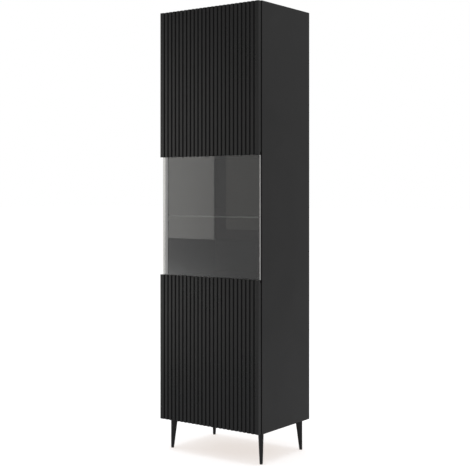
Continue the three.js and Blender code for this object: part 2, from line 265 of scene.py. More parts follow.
# %% Patches left by hands and wiping
def build_handling():
    """Broad soft patches between 0 and 1."""
    group, given, result = new_group(
        "handling_patches", [("Per metre", FLOAT, 5.0), ("Contrast", FLOAT, 1.0)], "Amount")
    place = node(group, "ShaderNodeTexCoord").outputs["Object"]
    broad = node(group, "ShaderNodeTexNoise", {
        "Vector": place, "Scale": given["Per metre"], "Detail": 4.0, "Distortion": 0.6})
    centred = maths(group, "SUBTRACT", broad.outputs["Fac"], 0.5)
    scaled = maths(group, "MULTIPLY_ADD", centred, given["Contrast"], 0.5, clamp=True)
    group.links.new(scaled, result.inputs["Amount"])
    return group


# %% Rubbed edges
def build_edge_wear():
    """The "edge" mark that our meshes carry on rounded corners, broken up by noise."""
    group, given, result = new_group(
        "edge_wear", [("Amount", FLOAT, 0.5), ("Per metre", FLOAT, 60.0)], "Mask")
    place = node(group, "ShaderNodeTexCoord").outputs["Object"]
    mark = node(group, "ShaderNodeAttribute", attribute_name="edge").outputs["Fac"]
    broken = node(group, "ShaderNodeTexNoise", {
        "Vector": place, "Scale": given["Per metre"], "Detail": 5.0})
    sharper = from_to(group, broken.outputs["Fac"], 0.0, 1.0, 0.4, 0.65)
    spots = maths(group, "MULTIPLY", mark, sharper)
    mask = maths(group, "MULTIPLY", spots, given["Amount"])
    group.links.new(mask, result.inputs["Mask"])
    return group


# %% Dust
def build_dust():
    """Strongest on faces that look up, and speckled."""
    group, given, result = new_group(
        "settled_dust", [("Amount", FLOAT, 0.2), ("Per metre", FLOAT, 240.0)], "Mask")
    place = node(group, "ShaderNodeTexCoord").outputs["Object"]
    facing = node(group, "ShaderNodeNewGeometry").outputs["Normal"]
    up = node(group, "ShaderNodeSeparateXYZ", {0: facing}).outputs["Z"]
    level = from_to(group, up, 0.0, 1.0, 0.5, 1.0)
    speckle = node(group, "ShaderNodeTexNoise", {
        "Vector": place, "Scale": given["Per metre"], "Detail": 6.0, "Roughness": 0.7})
    spots = from_to(group, speckle.outputs["Fac"], 0.0, 1.0, 0.42, 0.72)
    both = maths(group, "MULTIPLY", level, spots)
    mask = maths(group, "MULTIPLY", both, given["Amount"])
    group.links.new(mask, result.inputs["Mask"])
    return group


GRAIN = build_grain()
HANDLING = build_handling()
EDGE_WEAR = build_edge_wear()
DUST = build_dust()
print("shared effects:", [group.name for group in (GRAIN, HANDLING, EDGE_WEAR, DUST)])

# %% Use a group in a material
# The mix node's colour sockets, by number.
MIX_FIRST, MIX_SECOND, MIX_RESULT = 6, 7, 2


def use(tree, group, **values):
    """Places a group with its own values, such as Per_metre=800."""
    placed = node(tree, "ShaderNodeGroup", node_tree=group)
    for key, value in values.items():
        placed.inputs[key.replace("_", " ")].default_value = value
    return placed.outputs[0]


def mix_colour(tree, amount, first, second):
    """Two colours, or other nodes' outputs, mixed by a mask."""
    blend = node(tree, "ShaderNodeMix", data_type="RGBA")
    tree.links.new(amount, blend.inputs["Factor"])
    for key, value in ((MIX_FIRST, first), (MIX_SECOND, second)):
        if isinstance(value, bpy.types.NodeSocket):
            tree.links.new(value, blend.inputs[key])
        else:
            blend.inputs[key].default_value = (*value, 1)
    return blend.outputs[MIX_RESULT]


def relief(tree, height, depth, strength=1.0):
    """A bump from a height between 0 and 1. depth is in metres."""
    return node(tree, "ShaderNodeBump", {
        "Height": height, "Distance": depth, "Strength": strength}).outputs[0]


def new_material(name, **plain):
    """A Principled material. plain holds values that are the same all over."""
    print("finish:", name)
    material = bpy.data.materials.new(name)
    material.use_nodes = True
    tree = material.node_tree
    shader = tree.nodes["Principled BSDF"]
    for key, value in plain.items():
        shader.inputs[key.replace("_", " ")].default_value = value
    return material, tree, shader


def wire(tree, shader, **sockets):
    """Links varying results to the shader."""
    for key, value in sockets.items():
        tree.links.new(value, shader.inputs[key.replace("_", " ")])


# %% [markdown]
# ## Black finishes
#
# The carcass boards are faced with a matt laminate, and the door panels are milled board
# wrapped in a matt foil. Both are nearly black. Their look is in how they scatter light, so
# most of the work is in the roughness and in a very fine relief. The foil is smoother,
# since it is stretched over the ribs. The narrow edge strips are a plastic that is slightly
# darker than the board beside them.

# %% Laminate, foil and edge strip
RUBBED = (0.055, 0.054, 0.053)
DUST_COLOUR = (0.24, 0.23, 0.22)
WEAR_POLISH = -0.12


def black_sheet(name, dark, pale, grain, rough, reflect, wear, dust):
    """A black board or foil finish. dark and pale are the two ends of its mottling."""
    material, tree, shader = new_material(name, IOR=1.45, Specular_IOR_Level=reflect)
    patches = use(tree, HANDLING, Per_metre=4.0, Contrast=1.6)
    fine = use(tree, GRAIN, Per_metre=grain, Detail=2.0)
    worn = use(tree, EDGE_WEAR, Amount=wear, Per_metre=70.0)
    dusty = use(tree, DUST, Amount=dust)
    ground = mix_colour(tree, patches, (dark, dark, dark * 1.03), (pale, pale, pale * 1.02))
    speckled = mix_colour(tree, from_to(tree, fine, 0.0, 0.5), ground, (pale * 1.5,) * 3)
    rubbed = mix_colour(tree, worn, speckled, RUBBED)
    coated = mix_colour(tree, dusty, rubbed, DUST_COLOUR)
    even = from_to(tree, patches, rough - 0.05, rough + 0.07)
    sheen = maths(tree, "MULTIPLY_ADD", worn, WEAR_POLISH, even)
    wire(tree, shader, Base_Color=coated, Roughness=sheen,
         Normal=relief(tree, fine, 0.00006, 0.5))
    return material


BLACK_BOARD = black_sheet("black_laminate", 0.005, 0.0075, 1500.0, 0.5, 0.175, 0.35, 0.10)
BLACK_FOIL = black_sheet("black_foil", 0.0016, 0.003, 2200.0, 0.28, 0.195, 0.45, 0.10)
EDGE_BAND = black_sheet("black_edge_band", 0.002, 0.004, 2600.0, 0.5, 0.1, 0.3, 0.05)

# %% [markdown]
# ## Hardboard
#
# The back panel is a thin hardboard. Its inner side is lacquered black to match the boards.
# Its outer side, which faces the wall, is left as pressed wood fibre: warm brown, with
# darker and paler fibres lying upright and across.

# %% Raw and lacquered hardboard
def raw_hardboard():
    """Two stretched grains multiplied, so that fibres cross."""
    material, tree, shader = new_material("raw_hardboard", Specular_IOR_Level=0.2)
    patches = use(tree, HANDLING, Per_metre=7.0, Contrast=1.8)
    fibres = use(tree, GRAIN, Per_metre=420.0, Stretch=(1.0, 1.0, 0.25), Detail=6.0)
    across = use(tree, GRAIN, Per_metre=380.0, Stretch=(0.25, 1.0, 1.0), Detail=6.0)
    weave = maths(tree, "MULTIPLY", fibres, across)
    sorted_fibres = from_to(tree, weave, 0.0, 1.0, 0.14, 0.38)
    pulp = mix_colour(tree, patches, (0.19, 0.105, 0.055), (0.25, 0.145, 0.08))
    board = mix_colour(tree, sorted_fibres, pulp, (0.36, 0.23, 0.135))
    wire(tree, shader, Base_Color=board, Roughness=from_to(tree, patches, 0.74, 0.9),
         Normal=relief(tree, weave, 0.0002, 0.6))
    return material


RAW_HARDBOARD = raw_hardboard()
LACQUERED_HARDBOARD = black_sheet(
    "lacquered_hardboard", 0.009, 0.014, 700.0, 0.58, 0.3, 0.0, 0.05)

# %% [markdown]
# ## Metals
#
# Four metal finishes matter. The legs are steel with a satin powder coat, whose baked powder
# leaves a faint orange-peel relief. The hinges and shelf pins are steel with bright nickel on
# it, and the screws and nails are duller, bluer zinc. The strips beside the glass are
# anodised aluminium with fine lines along their length, which spread its highlight.

# %% Powder coat, nickel, zinc and aluminium
def powder_coat():
    material, tree, shader = new_material("powder_coat", Specular_IOR_Level=0.16)
    peel = use(tree, GRAIN, Per_metre=1100.0, Detail=1.0)
    patches = use(tree, HANDLING, Per_metre=20.0, Contrast=1.4)
    worn = use(tree, EDGE_WEAR, Amount=0.6, Per_metre=200.0)
    ground = mix_colour(tree, patches, (0.004, 0.004, 0.0043), (0.007, 0.007, 0.0073))
    wire(tree, shader, Base_Color=mix_colour(tree, worn, ground, (0.06, 0.058, 0.055)),
         Roughness=from_to(tree, patches, 0.36, 0.48), Normal=relief(tree, peel, 0.00012, 0.5))
    return material


def plated_steel(name, colour, rough, per_metre):
    """Plating over steel, with hairline scratches."""
    material, tree, shader = new_material(name, Metallic=1.0)
    patches = use(tree, HANDLING, Per_metre=60.0, Contrast=1.5)
    hairs = use(tree, GRAIN, Per_metre=per_metre, Stretch=(1.0, 0.12, 1.0), Detail=4.0)
    darker = tuple(c * 0.8 for c in colour)
    wire(tree, shader, Base_Color=mix_colour(tree, patches, darker, colour),
         Roughness=from_to(tree, hairs, rough - 0.08, rough + 0.14),
         Normal=relief(tree, hairs, 0.00003, 0.4))
    return material


def brushed_aluminium():
    material, tree, shader = new_material("brushed_aluminium", Metallic=1.0, Anisotropic=0.5)
    lines = use(tree, GRAIN, Per_metre=3200.0, Stretch=(1.0, 1.0, 0.01), Detail=3.0)
    patches = use(tree, HANDLING, Per_metre=25.0, Contrast=1.2)
    worn = use(tree, EDGE_WEAR, Amount=0.5, Per_metre=150.0)
    base = mix_colour(tree, lines, (0.2, 0.2, 0.198), (0.26, 0.26, 0.257))
    wire(tree, shader, Base_Color=mix_colour(tree, worn, base, (0.4, 0.4, 0.39)),
         Roughness=from_to(tree, patches, 0.2, 0.3), Normal=relief(tree, lines, 0.00002, 0.35))
    return material


POWDER_COAT = powder_coat()
NICKEL = plated_steel("bright_nickel", (0.62, 0.6, 0.56), 0.24, 1800.0)
ZINC = plated_steel("zinc_screw", (0.52, 0.53, 0.55), 0.32, 3000.0)
ALUMINIUM = brushed_aluminium()

# %% [markdown]
# ## Glass and plastics
#
# The door pane is smoked float glass: grey through its thickness, mirror-smooth on its
# faces. The shelf is clear float glass, whose ground front edge looks pale and slightly
# green. Glass blocks lamps in a path tracer's shadow test, which would leave the inside of
# the cabinet noisy and black, so each glass lets shadow rays through with its own tint.

# %% Smoked and clear glass
def sheet_glass(name, tint, shadow):
    """Glass that lets lamps through in the shadow colour. tint colours what shows through."""
    material, tree, shader = new_material(
        name, Base_Color=(*tint, 1), Metallic=0.0, Transmission_Weight=1.0, IOR=1.5)
    smears = use(tree, HANDLING, Per_metre=9.0, Contrast=1.6)
    wire(tree, shader, Roughness=from_to(tree, smears, 0.0, 0.012))
    through = node(tree, "ShaderNodeBsdfTransparent", {"Color": (*shadow, 1)})
    shadow_ray = node(tree, "ShaderNodeLightPath").outputs["Is Shadow Ray"]
    either = node(tree, "ShaderNodeMixShader", {
        0: shadow_ray, 1: shader.outputs[0], 2: through.outputs[0]})
    tree.links.new(either.outputs[0], tree.nodes["Material Output"].inputs["Surface"])
    return material


def ground_glass_edge():
    material, tree, shader = new_material(
        "ground_glass_edge", Transmission_Weight=0.35, IOR=1.5)
    lines = use(tree, GRAIN, Per_metre=2500.0, Stretch=(0.05, 1.0, 1.0), Detail=3.0)
    wire(tree, shader, Base_Color=mix_colour(tree, lines, (0.66, 0.72, 0.68), (0.84, 0.9, 0.86)),
         Roughness=from_to(tree, lines, 0.3, 0.5))
    return material


SMOKED_GLASS = sheet_glass("smoked_glass", (0.28, 0.285, 0.28), (0.28, 0.28, 0.28))
CLEAR_GLASS = sheet_glass("clear_glass", (0.93, 0.97, 0.95), (0.9, 0.93, 0.92))
GROUND_EDGE = ground_glass_edge()

# %% Moulded plastics
def moulded_plastic(name, colour, rough):
    material, tree, shader = new_material(name, Specular_IOR_Level=0.4)
    fine = use(tree, GRAIN, Per_metre=2400.0, Detail=2.0)
    patches = use(tree, HANDLING, Per_metre=50.0, Contrast=1.2)
    worn = use(tree, EDGE_WEAR, Amount=0.3, Per_metre=300.0)
    pale = tuple(c * 1.35 for c in colour)
    ground = mix_colour(tree, patches, colour, pale)
    wire(tree, shader, Base_Color=mix_colour(tree, worn, ground, tuple(c * 2 for c in pale)),
         Roughness=from_to(tree, patches, rough - 0.05, rough + 0.08),
         Normal=relief(tree, fine, 0.00004, 0.4))
    return material


BLACK_PLASTIC = moulded_plastic("black_plastic", (0.011, 0.011, 0.011), 0.5)
GREY_PLASTIC = moulded_plastic("grey_plastic", (0.16, 0.165, 0.17), 0.45)
SOFT_BUMPER = moulded_plastic("soft_bumper", (0.3, 0.3, 0.29), 0.35)

# %% [markdown]
# ## Making and placing pieces
#
# Most of the cabinet is flat board, so one helper makes a board with softly rounded corners
# from two opposite corners. A rounded corner catches a thin line of light, which tells the
# eye where one board ends. The helper marks the rounded faces for the edge wear.

# %% Turn a bmesh into a piece of the cabinet
def mark_edges(bm, faces):
    """Writes 1 on the given faces in the "edge" layer and 0 on the others."""
    layer = bm.faces.layers.float.new("edge")
    for face in faces:
        if face.is_valid:
            face[layer] = 1.0


def even_shading(piece):
    """Lets the large flat faces set the shading."""
    even = piece.modifiers.new("even_shading", "WEIGHTED_NORMAL")
    even.keep_sharp = True
    even.weight = 100


def finish_piece(name, bm, body, materials, stands_for=(), smooth=35):
    """Names the piece, gives it its finish, and makes it ride on a body."""
    mesh = bpy.data.meshes.new(name)
    bm.to_mesh(mesh)
    bm.free()
    for material in materials if isinstance(materials, list) else [materials]:
        mesh.materials.append(material)
    mesh.shade_smooth()
    mesh.set_sharp_from_angle(angle=math.radians(smooth))
    piece = bpy.data.objects.new(name, mesh)
    scene.collection.objects.link(piece)
    even_shading(piece)
    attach(piece, body)
    if stands_for:
        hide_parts(*stands_for)
    return piece


# %% Boards and bars
def rounded_box(low, high, radius, segments=2):
    """A box between two corners with all its edges rounded."""
    bm = bmesh.new()
    size = Vector(high) - Vector(low)
    middle = (Vector(high) + Vector(low)) / 2
    place = Matrix.Translation(middle) @ Matrix.Diagonal((*size, 1))
    bmesh.ops.create_cube(bm, size=1, matrix=place)
    radius = min(radius, min(size) * 0.45)
    rounded = bmesh.ops.bevel(bm, geom=bm.edges[:], offset=radius, segments=segments,
                              profile=0.5, affect="EDGES")
    mark_edges(bm, rounded["faces"])
    return bm


def box_piece(name, low, high, radius, body, materials, stands_for=()):
    return finish_piece(name, rounded_box(low, high, radius), body, materials, stands_for)


def prism(points, low, high, edge_sides=()):
    """An outline of (x, y) points, counter-clockwise, pulled up from low to high."""
    bm = bmesh.new()
    bottom = [bm.verts.new((x, y, low)) for x, y in points]
    top = [bm.verts.new((x, y, high)) for x, y in points]
    sides = []
    for i in range(len(points)):
        j = (i + 1) % len(points)
        sides.append(bm.faces.new((bottom[i], bottom[j], top[j], top[i])))
    bm.faces.new(top)
    bm.faces.new(bottom[::-1])
    bmesh.ops.recalc_face_normals(bm, faces=bm.faces[:])
    mark_edges(bm, [sides[i] for i in edge_sides])
    return bm


# %% Round pieces
def in_mm(*points):
    """A profile written in millimetres."""
    return [(radius * MM, height * MM) for radius, height in points]


def skin(bm, rings, segments):
    """Joins rings of corners, one above the other. A ring of one corner closes an end."""
    for lower, upper in zip(rings, rings[1:]):
        for i in range(segments):
            j = (i + 1) % segments
            corners = [lower[i % len(lower)], lower[j % len(lower)],
                       upper[j % len(upper)], upper[i % len(upper)]]
            unique = list(dict.fromkeys(corners))
            if len(unique) > 2:
                bm.faces.new(unique)


def lathe(profile, segments):
    """A closed round piece about the Z axis from a profile of (radius, height) points."""
    bm = bmesh.new()
    rings = []
    for radius, height in profile:
        turns = [math.tau * i / segments for i in range(segments)] if radius else [0]
        rings.append([bm.verts.new((radius * math.cos(t), radius * math.sin(t), height))
                      for t in turns])
    skin(bm, rings, segments)
    bmesh.ops.recalc_face_normals(bm, faces=bm.faces[:])
    mark_edges(bm, [])
    return bm


def aim(bm, place, direction):
    """Turns a piece made along Z to point along direction, and moves it to place."""
    turn = Vector(direction).to_track_quat("Z", "Y").to_matrix().to_4x4()
    bm.transform(Matrix.Translation(place) @ turn)
    return bm


def together(parts):
    """Joins several bmeshes into one."""
    whole = bmesh.new()
    for part in parts:
        holder = bpy.data.meshes.new("part")
        part.to_mesh(holder)
        part.free()
        whole.from_mesh(holder)
        bpy.data.meshes.remove(holder)
    return whole


# %% Cut holes in a piece
FIT_GAP = 0.3 * MM
CUTTER_LENGTH = 30 * MM
SHARP_ANGLE = 35


def block(low, high):
    """A plain box between two corners, to cut with."""
    low, high = Vector(low), Vector(high)
    place = Matrix.Translation((low + high) / 2)
    bm = bmesh.new()
    bmesh.ops.create_cube(bm, size=1, matrix=place @ Matrix.Diagonal((*(high - low), 1)))
    mark_edges(bm, [])
    return bm


def carve(piece, cutters):
    """Subtracts closed bmeshes from a piece and keeps the result as its mesh."""
    tool_mesh = bpy.data.meshes.new("tool")
    joined = together(cutters)
    joined.to_mesh(tool_mesh)
    joined.free()
    tool = bpy.data.objects.new("tool", tool_mesh)
    scene.collection.objects.link(tool)
    piece.modifiers.clear()
    cut = piece.modifiers.new("cut", "BOOLEAN")
    cut.operation, cut.solver, cut.object = "DIFFERENCE", "EXACT", tool
    graph = bpy.context.evaluated_depsgraph_get()
    result = bpy.data.meshes.new_from_object(piece.evaluated_get(graph))
    piece.modifiers.remove(cut)
    piece.data = result
    bpy.data.objects.remove(tool)
    result.shade_smooth()
    result.set_sharp_from_angle(angle=math.radians(SHARP_ANGLE))
    even_shading(piece)


# %% [markdown]
# ## Boards with glued edge strips
#
# Chipboard shows rough chips where it is cut, so its visible edges are covered with a thin
# plastic strip. We make the strip as its own piece, a millimetre thick, and shorten the board
# by the same amount. The hairline between them is what makes a board read as a board.

# %% A board with strips on chosen edges
BAND = 1.0 * MM
BAND_RADIUS = 0.4 * MM
BOARD_RADIUS = 0.25 * MM
HAIRLINE = 0.06 * MM
EDGE_SIDES = {"front": (1, 0), "back": (1, 1), "bottom": (2, 0), "top": (2, 1)}


def banded_board(node_name, bands):
    """Replaces a flat CAD board. bands names the edges that carry a strip."""
    low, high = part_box(node_name)
    inner_low, inner_high = low.copy(), high.copy()
    for band in bands:
        axis, end = EDGE_SIDES[band]
        if end:
            inner_high[axis] -= BAND
        else:
            inner_low[axis] += BAND
    for band in bands:
        axis, end = EDGE_SIDES[band]
        strip_low, strip_high = inner_low.copy(), inner_high.copy()
        if axis == 1:
            strip_low.z, strip_high.z = low.z, high.z
        if end:
            strip_low[axis], strip_high[axis] = inner_high[axis] + HAIRLINE, high[axis]
        else:
            strip_low[axis], strip_high[axis] = low[axis], inner_low[axis] - HAIRLINE
        box_piece(f"{node_name}_{band}_band", strip_low, strip_high, BAND_RADIUS,
                  "carcass", EDGE_BAND)
    return box_piece(f"{node_name}_board", inner_low, inner_high, BOARD_RADIUS,
                     "carcass", BLACK_BOARD, [node_name])


for board in ("top_panel", "bottom_panel", "upper_fixed_shelf", "lower_fixed_shelf",
              "upper_shelf", "lower_shelf"):
    banded_board(board, ["front"])
side_boards = {side: banded_board(f"{side}_side_panel", ["front", "top", "bottom"])
               for side in ("left", "right")}

# %% [markdown]
# ## Bores and rebate in the side boards
#
# Each side board is drilled with short rows of holes, so that the shelves can be moved up or
# down a step, and it has a rebate at the back for the hardboard. We cut both with a boolean.
# The hole spacing is the usual 32 mm.

# %% Drill and rebate the side boards
HOLE_STEP = 32 * MM
HOLE_RADIUS = 2.6 * MM
HOLE_DEPTH = 9 * MM
REBATE_REACH = 5 * MM
REBATE_DEPTH = 10 * MM
REBATE_BOTTOM, REBATE_TOP = -0.5, 2.5
back_low, back_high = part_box("back_panel")


def pin_middles(shelf):
    """Where the pins of one shelf stand, as (y, z), from the left side's pins."""
    places = []
    for end in ("front", "back"):
        low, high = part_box(f"{shelf}_shelf_pin_{end}_left")
        middle = (low + high) / 2
        places.append((middle.y, middle.z))
    return places


def hole_cutters(face_x):
    """A row of five holes at every pin, drilled from the board's inner face."""
    tools = []
    for shelf in ("lower", "glass", "upper"):
        for y, z in pin_middles(shelf):
            for step in range(-2, 3):
                hole = lathe([(0, -HOLE_DEPTH), (HOLE_RADIUS, -HOLE_DEPTH),
                              (HOLE_RADIUS, HOLE_DEPTH), (0, HOLE_DEPTH)], 16)
                tools.append(aim(hole, (face_x, y, z + step * HOLE_STEP), (1, 0, 0)))
    return tools


for side, sign in (("left", -1), ("right", 1)):
    low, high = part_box(f"{side}_side_panel")
    inner_face = high.x if sign < 0 else low.x
    back_edge = sign * (back_high.x + FIT_GAP)
    left, right = sorted((back_edge, inner_face - sign * REBATE_REACH))
    front = back_low.y - FIT_GAP
    rebate = block((left, front, REBATE_BOTTOM), (right, front + REBATE_DEPTH, REBATE_TOP))
    carve(side_boards[side], [*hole_cutters(inner_face), rebate])
    print(side, "side board faces:", len(side_boards[side].data.polygons))

# %% [markdown]
# ## The ribbed door panels
#
# The door panels are milled from one board: a cutter leaves twenty-four grooves with nearly
# upright walls, and the foil softens every corner. We draw that section once, as straight
# runs joined by small arcs, and pull it up to the panel's height. Each rib
# edge then picks up its own thin highlight.

# %% Draw the ribbed section
GROOVES = 24
FIRST_GROOVE = 24.4 * MM
LAST_GROOVE = 19.8 * MM
GROOVE_HALF = 4.8 * MM
GROOVE_FLOOR_HALF = 3.7 * MM
GROOVE_DEPTH = 4.5 * MM
RIB_RADIUS = 0.9 * MM
FLOOR_RADIUS = 1.1 * MM
BACK_RADIUS = 0.5 * MM
ARC_STEPS = 3


def arc_corner(before, corner, after, radius):
    """Points of a small arc that rounds one corner of an outline."""
    a, c, b = Vector(before), Vector(corner), Vector(after)
    to_a, to_b = (a - c).normalized(), (b - c).normalized()
    half = to_a.angle(to_b) / 2
    reach = radius / math.tan(half)
    start, end = c + to_a * reach, c + to_b * reach
    centre = c + (to_a + to_b).normalized() * (radius / math.sin(half))
    points = []
    for i in range(ARC_STEPS + 1):
        chord = start.lerp(end, i / ARC_STEPS)
        points.append(tuple(centre + (chord - centre).normalized() * radius))
    return points


def ribbed_outline(left, right, front, back):
    """The section of a ribbed panel, with the indices of its rounded rib corners."""
    pitch = (right - left - FIRST_GROOVE - LAST_GROOVE) / (GROOVES - 1)
    sharp = [((left, front), RIB_RADIUS)]
    for i in range(GROOVES):
        middle = left + FIRST_GROOVE + i * pitch
        sharp += [
            ((middle - GROOVE_HALF, front), RIB_RADIUS),
            ((middle - GROOVE_FLOOR_HALF, front + GROOVE_DEPTH), FLOOR_RADIUS),
            ((middle + GROOVE_FLOOR_HALF, front + GROOVE_DEPTH), FLOOR_RADIUS),
            ((middle + GROOVE_HALF, front), RIB_RADIUS),
        ]
    sharp += [((right, front), RIB_RADIUS), ((right, back), BACK_RADIUS),
              ((left, back), BACK_RADIUS)]
    points, rounded = [], []
    for i, (corner, radius) in enumerate(sharp):
        before, after = sharp[i - 1][0], sharp[(i + 1) % len(sharp)][0]
        if radius == RIB_RADIUS:
            rounded += range(len(points), len(points) + ARC_STEPS)
        points += arc_corner(before, corner, after, radius)
    return points, rounded


# %% Pull it up, then bore the cups and rebate the back
REBATE_HALF = 0.3
pane_low, pane_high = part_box("glass_pane")


def cup_bore(number):
    """A cutter for the round bore of one hinge cup, a little larger than the cup."""
    low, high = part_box(f"hinge_cup_{number}")
    radius = (high.x - low.x) / 2 + FIT_GAP
    tool = lathe([(0, 0), (radius, 0), (radius, CUTTER_LENGTH), (0, CUTTER_LENGTH)], 48)
    place = ((low.x + high.x) / 2, low.y - FIT_GAP, (low.z + high.z) / 2)
    return aim(tool, place, (0, 1, 0))


def pane_rebate():
    """A cutter for the step in which the pane's top or bottom edge lies."""
    return block((-REBATE_HALF, pane_low.y - FIT_GAP, pane_low.z - FIT_GAP),
                 (REBATE_HALF, 0, pane_high.z + FIT_GAP))


for place, cups in (("lower", (1, 2)), ("upper", (3, 4))):
    low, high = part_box(f"{place}_ribbed_panel")
    outline, rounded = ribbed_outline(low.x, high.x, low.y, high.y)
    bm = prism(outline, low.z, high.z, rounded)
    panel = finish_piece(f"{place}_door_panel", bm, "door", BLACK_FOIL,
                         [f"{place}_ribbed_panel"])
    carve(panel, [*[cup_bore(n) for n in cups], pane_rebate()])
    print(place, "panel section points:", len(outline), "faces:", len(panel.data.polygons))

# %% [markdown]
# ## The glass and its two strips
#
# The pane lies in the rebates behind the ribbed panels, so it sits well back from the
# ribs. Its sharp corners are ground and polished away, which a small bevel gives. The grip
# strip on the opening side has a crowned face for the fingertips. Its curve sweeps the room
# from bright to dim, which a flat strip couldn't do.

# %% Pane and shelf
PANE_BEVEL = 0.6 * MM
SHELF_BEVEL = 0.8 * MM
FLAT = 0.9
box_piece("door_pane", pane_low, pane_high, PANE_BEVEL, "door", SMOKED_GLASS,
          ["glass_pane"])
shelf_low, shelf_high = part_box("glass_shelf")
shelf_bm = rounded_box(shelf_low, shelf_high, SHELF_BEVEL)
for face in shelf_bm.faces:
    face.material_index = 1 if abs(face.normal.z) < FLAT else 0
finish_piece("clear_shelf", shelf_bm, "carcass", [CLEAR_GLASS, GROUND_EDGE],
             ["glass_shelf"])
print("pane height in mm:", round((pane_high.z - pane_low.z) / MM))

# %% Grip strip and edge strip
STRIP_WALL = 1.2 * MM
GRIP_CROWN = 2.4 * MM
GRIP_LIP = 0.5 * MM
CROWN_STEPS = 12


def strip_outline(low, high, wall, lip, crown, outer_on_left):
    """An angle section: a crowned front face and a wall over the pane's edge."""
    inside = pane_low.y - FIT_GAP
    points = []
    for i in range(CROWN_STEPS + 1):
        share = i / CROWN_STEPS
        thick = wall + (lip - wall) * share + 4 * crown * share * (1 - share)
        points.append((low.x + (high.x - low.x) * share, max(inside - thick, low.y)))
    if outer_on_left:
        points += [(high.x, inside), (low.x + wall, inside), (low.x + wall, high.y),
                   (low.x, high.y)]
    else:
        points += [(high.x, high.y), (high.x - wall, high.y), (high.x - wall, inside),
                   (low.x, inside)]
    return points


for name, lip, crown, on_left in (("grip_strip", GRIP_LIP, GRIP_CROWN, True),
                                  ("edge_strip", STRIP_WALL, 0.0, False)):
    low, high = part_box(name)
    outline = strip_outline(low, high, STRIP_WALL, lip, crown, on_left)
    finish_piece(f"{name}_profile", prism(outline, low.z, high.z), "door",
                 ALUMINIUM, [name], smooth=50)
    print(name, "width in mm:", round((high.x - low.x) / MM, 1))

# %% [markdown]
# ## Legs, plates and glides
#
# Each leg is a cone whose section changes from a circle at the foot to an oval at the top.
# The outer edge stays upright and the inner edge does all the tapering, so the leg looks
# splayed. We build it from rings and let the section blend with height.

# %% Tapered legs
LEG_FOOT = 6.7 * MM
LEG_LONG = 14.9 * MM
LEG_SHORT = 11.4 * MM
LEG_EDGE = 0.8 * MM
LEG_SEGMENTS = 48
LEG_RINGS = 12
PLATE_RADIUS = 0.6 * MM
CORNERS = {"front_left": (-1, -1), "front_right": (1, -1), "back_left": (-1, 1),
           "back_right": (1, 1)}


def tapered_leg(low, high):
    """A leg along Z whose outer side looks along +X."""
    bm = bmesh.new()
    rings = []
    stations = [(0, LEG_EDGE), (LEG_EDGE * 0.3, LEG_EDGE * 0.3), (LEG_EDGE, 0)]
    length = high - low
    stations += [(length * i / LEG_RINGS, 0) for i in range(1, LEG_RINGS)]
    stations += [(length - LEG_EDGE, 0), (length, LEG_EDGE * 0.6)]
    for height, tuck in stations:
        up = height / length
        long = LEG_FOOT + (LEG_LONG - LEG_FOOT) * up
        short = LEG_FOOT + (LEG_SHORT - LEG_FOOT) * up
        ring = []
        for i in range(LEG_SEGMENTS):
            turn = math.tau * i / LEG_SEGMENTS
            ring.append(bm.verts.new((LEG_FOOT - long + (long - tuck) * math.cos(turn),
                                      (short - tuck) * math.sin(turn), low + height)))
        rings.append(ring)
    skin(bm, rings, LEG_SEGMENTS)
    bm.faces.new(rings[0][::-1])
    bm.faces.new(rings[-1])
    mark_edges(bm, [])
    return bm


def glide_profile(radius, thick):
    """A flat foot with a rounded tread."""
    tread, soft = 1 * MM, 0.4 * MM
    return [(0, 0), (radius - tread, 0), (radius - 0.3 * MM, 0.3 * MM), (radius, tread),
            (radius, thick - soft), (radius - soft, thick), (0, thick)]


for corner, (sx, sy) in CORNERS.items():
    glide_low, glide_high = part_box(f"glide_{corner}")
    foot = (glide_low + glide_high) / 2
    low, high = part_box(f"leg_{corner}")
    bm = tapered_leg(low.z, high.z)
    bm.transform(Matrix.Translation((foot.x, foot.y, 0))
                 @ Matrix.Rotation(math.atan2(sy, sx), 4, "Z"))
    finish_piece(f"{corner}_leg", bm, "carcass", POWDER_COAT, [f"leg_{corner}"])
    width, _, thick = glide_high - glide_low
    glide = lathe(glide_profile(width / 2, thick), 40)
    glide.transform(Matrix.Translation((foot.x, foot.y, glide_low.z)))
    finish_piece(f"{corner}_glide", glide, "carcass", BLACK_PLASTIC,
                 [f"glide_{corner}"])
    low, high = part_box(f"leg_plate_{corner}")
    box_piece(f"{corner}_leg_plate", low, high, PLATE_RADIUS, "carcass",
              POWDER_COAT, [f"leg_plate_{corner}"])
    print("leg:", corner)

# %% [markdown]
# ## Screws
#
# All the screws are one shape at different sizes: a low domed head with a cross in it. We
# turn the head from a profile, lay two thin dark bars in its dimple as painted shade for the
# shadow in the cross recess, and place copies as one piece per group.

# %% A cross-head screw
CROSS_TURN = 0.5


def screw_head(radius, height):
    """A domed head along +Z, standing on z = 0, with a dark cross of painted shade in its
    recess.
    """
    dome = [(radius, 0), (radius, height * 0.25), (radius * 0.9, height * 0.62),
            (radius * 0.66, height * 0.88), (radius * 0.4, height)]
    recess = [(radius * 0.34, height * 0.98), (radius * 0.12, height * 0.35), (0, height * 0.3)]
    head = lathe([(0, 0), *dome, *recess], 24)
    # Painted shade: two dark bars stand for the shadow inside the cross recess.
    cross_shade_bars = []
    for turn in (0, math.pi / 2):
        cross_shade_bar = rounded_box((-radius * 0.55, -radius * 0.1, height * 0.45),
                          (radius * 0.55, radius * 0.1, height * 0.99), radius * 0.03, 1)
        cross_shade_bar.transform(Matrix.Rotation(turn + CROSS_TURN, 4, "Z"))
        for face in cross_shade_bar.faces:
            face.material_index = 1
        cross_shade_bars.append(cross_shade_bar)
    return together([head, *cross_shade_bars])


def screws(name, places, direction, radius, height, body="carcass"):
    """One piece holding a screw at every place, all pointing along direction."""
    heads = [aim(screw_head(radius, height), place, direction) for place in places]
    # The second finish colours the cross bars, which are painted shade.
    return finish_piece(name, together(heads), body, [ZINC, BLACK_PLASTIC])


